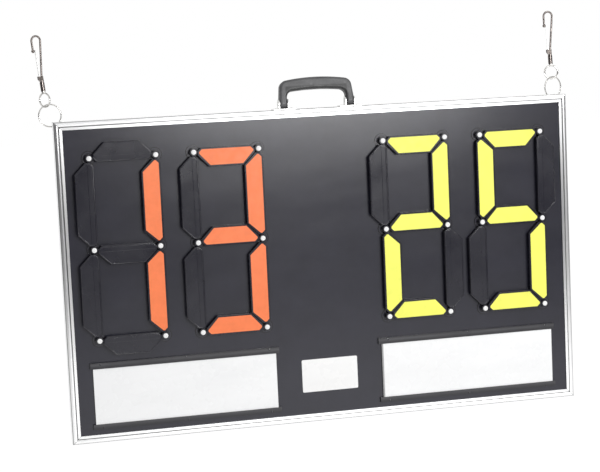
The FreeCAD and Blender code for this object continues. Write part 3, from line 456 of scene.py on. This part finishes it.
FLAP_REACH = 23 * MM
HEEL_REACH = 6 * MM
HEEL_CHAMFER = 5.5 * MM
END_GAP = 6 * MM
MITRE_OFFSET = 0.57 * MM
FLAP_THICKNESS = 5 * MM
FACING_RECESS = 0.35 * MM
FACING_SUNK = 0.03 * MM
FACING_RIM = 2.35 * MM
FACING_TIP_CUT = 1.6 * MM
FACING_FRONT = FACING_SUNK - FLAP_THICKNESS / 2
FACING_BACK = FACING_RECESS - FLAP_THICKNESS / 2

# Each profile lists the loops of a skin as (inset from the flap's edge, depth behind the middle of the flap).
FACING_PROFILE = (
    (FACING_RIM, FACING_BACK),
    (FACING_RIM, FACING_FRONT + 0.14 * MM),
    (FACING_RIM + 0.05 * MM, FACING_FRONT + 0.05 * MM),
    (FACING_RIM + 0.14 * MM, FACING_FRONT),
    (FACING_RIM + 1.2 * MM, FACING_FRONT),
)
TRAY_PROFILE = (
    (0.55 * MM, 2.4 * MM),
    (0.6 * MM, 2.85 * MM),
    (0.75 * MM, 3.02 * MM),
    (1.0 * MM, 3.1 * MM),
    (1.5 * MM, 3.1 * MM),
    (1.75 * MM, 3.02 * MM),
    (1.9 * MM, 2.85 * MM),
    (1.95 * MM, 2.58 * MM),
)

# The low band over the hinge pin. Its slope is a list of (distance from the pin, rise), and its end a list of
# (distance from the tip, share of the rise), both from the outside inwards.
BAND_FOOT = 2.56 * MM
BAND_END_GAP = 8.6 * MM
BAND_SLOPE = (
    (3.6 * MM, 0),
    (3.4 * MM, 0.14 * MM),
    (3.2 * MM, 0.22 * MM),
    (2.9 * MM, 0.25 * MM),
    (2.8 * MM, 0.25 * MM),
)
BAND_END = ((0, 0.55), (0.4 * MM, 1.0), (0.6 * MM, 1.0))

LIT_SEGMENTS = {
    "home_tens": ("top_right", "bottom_right"),
    "home_units": ("top", "top_right", "middle", "bottom_right", "bottom"),
    "guest_tens": ("top", "top_right", "middle", "bottom_left", "bottom"),
    "guest_units": ("top", "top_left", "middle", "bottom_right", "bottom"),
}


def flap_outline(half, inset, tip_cut=0.0):
    """The outline of a flap about its hinge, as (across, up) points. An inset draws it in from the flap's
    edge, and a tip cut narrows its two ends."""
    slant = inset * math.sqrt(2)
    end = half - END_GAP - inset
    mitre_up = END_GAP + inset - MITRE_OFFSET - slant - tip_cut
    free = FLAP_REACH - inset
    free_end = half - MITRE_OFFSET - slant - free
    heel = HEEL_REACH - inset
    heel_end = end - HEEL_CHAMFER - slant + inset * 2
    chamfer_up = HEEL_REACH - HEEL_CHAMFER + inset - slant
    right = [(heel_end, -heel), (end, -chamfer_up), (end, mitre_up), (free_end, free)]
    return right + [(-across, up) for across, up in reversed(right)]


def flap_skin(half, profile, tip_cut=0.0):
    """A bmesh skin over the flap outlines of a profile, closed at the last one, and its open first loop."""
    shape = bmesh.new()
    loops = [
        [shape.verts.new((across, depth, up)) for across, up in flap_outline(half, inset, tip_cut)]
        for inset, depth in profile
    ]
    join_rows(shape, loops, closed=True)
    shape.faces.new(loops[-1])
    return shape, loops[0]


def facing_mesh(name, span):
    """A thin coloured plate with a rounded edge in front."""
    shape, back = flap_skin(span / 2, FACING_PROFILE, FACING_TIP_CUT)
    shape.faces.new(reversed(back))
    bmesh.ops.recalc_face_normals(shape, faces=shape.faces)
    return mesh_from(shape, name)


def tray_mesh(name, span):
    """The black back of a flap: a raised rounded rim, a floor inside it and a low band over the hinge pin."""
    shape, _ = flap_skin(span / 2, TRAY_PROFILE)
    reach = span / 2 - BAND_END_GAP
    slope = [(-up, rise) for up, rise in BAND_SLOPE] + list(reversed(BAND_SLOPE))
    left = [(gap - reach, share) for gap, share in BAND_END]
    sections = [
        [shape.verts.new((across, BAND_FOOT + rise * share, up)) for up, rise in slope]
        for across, share in left + [(-across, share) for across, share in reversed(left)]
    ]
    join_rows(shape, sections)
    shape.faces.new(sections[0])
    shape.faces.new(sections[-1])
    bmesh.ops.recalc_face_normals(shape, faces=shape.faces)
    data = mesh_from(shape, name)
    data.polygons.foreach_set("use_smooth", [True] * len(data.polygons))
    data.set_sharp_from_angle(angle=math.radians(35))
    return data


def make_facings():
    """A coloured facing and a black tray on each flap. A flap that isn't lit shows its tray."""
    finishes = {
        "home": facing_plastic("facing_orange", (0.945, 0.206, 0.056)),
        "guest": facing_plastic("facing_yellow", (0.92, 0.93, 0.130)),
    }
    black = flap_plastic("tray_black_gloss")
    for joint in flap_hinges:
        flap = joint["child"]
        _, side, digit, segment = flap.split("_", 3)
        span = segment_height if joint in upright_hinges else segment_width
        # The skins are drawn with X along the hinge, Y towards the black back and Z towards the free edge.
        way = 1 if segment in LIT_SEGMENTS[f"{side}_{digit}"] else -1
        along = Vector(joint["axis"]) * way
        back = Vector((0, way, 0))
        turn = Matrix((along, back, along.cross(back))).transposed().to_4x4()
        for kind, shaped, finish in (("facing", facing_mesh, finishes[side]), ("tray", tray_mesh, black)):
            name = f"{kind}_{side}_{digit}_{segment}"
            data = shaped(name, span)
            data.transform(Matrix.Translation(joint["pos_m"]) @ turn)
            data.materials.append(finish)
            piece = add_object(name, data)
            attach(piece, flap)


# Room and light

ROOM_LEVEL = 0.45
FLOOR_LEVEL = -0.32
FLOOR_GLOW = 0.67
FLOOR_RINGS = (0.4, 0.9, 1.6, 3.0, 6.0, 14.0)
WALL_RADIUS = 3.4
WALL_TOP = 1.15
WHITE = (1, 1, 1, 1)


def arc(radius, height, start, stop, step):
    """Points on a level arc above or below the origin, between two angles in whole degrees."""
    turns = [math.radians(angle) for angle in range(start, stop, step)]
    return [(radius * math.cos(turn), radius * math.sin(turn), height) for turn in turns]


def make_floor():
    """A plain pale floor some way under the hanging board. It looks white and keeps the board's shadow."""
    shape = bmesh.new()
    rings = [
        [shape.verts.new(point) for point in arc(radius, FLOOR_LEVEL, 0, 360, 15)]
        for radius in FLOOR_RINGS
    ]
    shape.faces.new(rings[0])
    join_rows(shape, rings[::-1], closed=True)
    data = mesh_from(shape, "floor")
    floor = add_object("floor", data)

    made = Shader("floor_white")
    made.set(Base_Color=(0.8, 0.8, 0.8, 1.0), Roughness=0.9, Specular_IOR_Level=0.0)
    glow = made.add("ShaderNodeEmission")
    glow.inputs["Color"].default_value = WHITE
    made.link(made.math("MULTIPLY", made.seen(), FLOOR_GLOW), glow.inputs["Strength"])
    total = made.add("ShaderNodeAddShader")
    made.link(made.surface.outputs["BSDF"], total.inputs[0])
    made.link(glow.outputs["Emission"], total.inputs[1])
    output = made.tree.nodes["Material Output"]
    made.link(total.outputs["Shader"], output.inputs["Surface"])
    data.materials.append(made.material)


def make_world():
    """White where it is seen, also in metal. The light that falls on the object is a plain soft level."""
    world = bpy.data.worlds.new("studio")
    bpy.context.scene.world = world
    world.use_nodes = True
    made = Nodes(world.node_tree)
    made.tree.nodes.clear()
    mixed = made.add("ShaderNodeMixShader")
    made.link(made.seen(), mixed.inputs["Fac"])
    for index, level in ((1, ROOM_LEVEL), (2, 1.0)):
        background = made.add("ShaderNodeBackground")
        background.inputs["Color"].default_value = WHITE
        background.inputs["Strength"].default_value = level
        made.link(background.outputs["Background"], mixed.inputs[index])
    output = made.add("ShaderNodeOutputWorld")
    made.link(mixed.outputs["Shader"], output.inputs["Surface"])


def make_wall():
    """A low grey wall around the front of the room, hidden from the camera, that metal and gloss mirror."""
    shape = bmesh.new()
    rows = [
        [shape.verts.new(point) for point in arc(WALL_RADIUS, height, 165, 376, 6)]
        for height in (FLOOR_LEVEL, WALL_TOP)
    ]
    join_rows(shape, rows)
    data = mesh_from(shape, "room_wall")
    wall = add_object("room_wall", data)
    made = Shader("room_wall_grey")
    made.colour(made.cloudy(made.noise(300 * MM, 4.0), (0.125, 0.125, 0.13), (0.16, 0.16, 0.165)))
    made.set(Roughness=0.9)
    data.materials.append(made.material)
    wall.visible_camera = False
    wall.visible_diffuse = False


def make_lamp(name, place, aim, width, height, watts):
    """A soft rectangular lamp at a place, turned to its aim."""
    data = bpy.data.lights.new(name, "AREA")
    data.shape = "RECTANGLE"
    data.size = width
    data.size_y = height
    data.energy = watts
    lamp = add_object(name, data)
    way = Vector(aim) - Vector(place)
    lamp.matrix_world = Matrix.Translation(place) @ way.to_track_quat("-Z", "Y").to_matrix().to_4x4()


def make_light():
    make_lamp("key_soft", place=(1.1, -1.9, 1.25), aim=(0, 0, 0.25), width=0.35, height=0.35, watts=11)
    make_lamp("front_soft", place=(0.62, -2.5, 0.64), aim=(0.03, 0, 0.3), width=0.9, height=0.36, watts=26)


make_camera()
make_world()
make_light()
make_floor()
make_wall()
finish_nodes()
make_facings()

bpy.context.scene.view_settings.view_transform = "Standard"
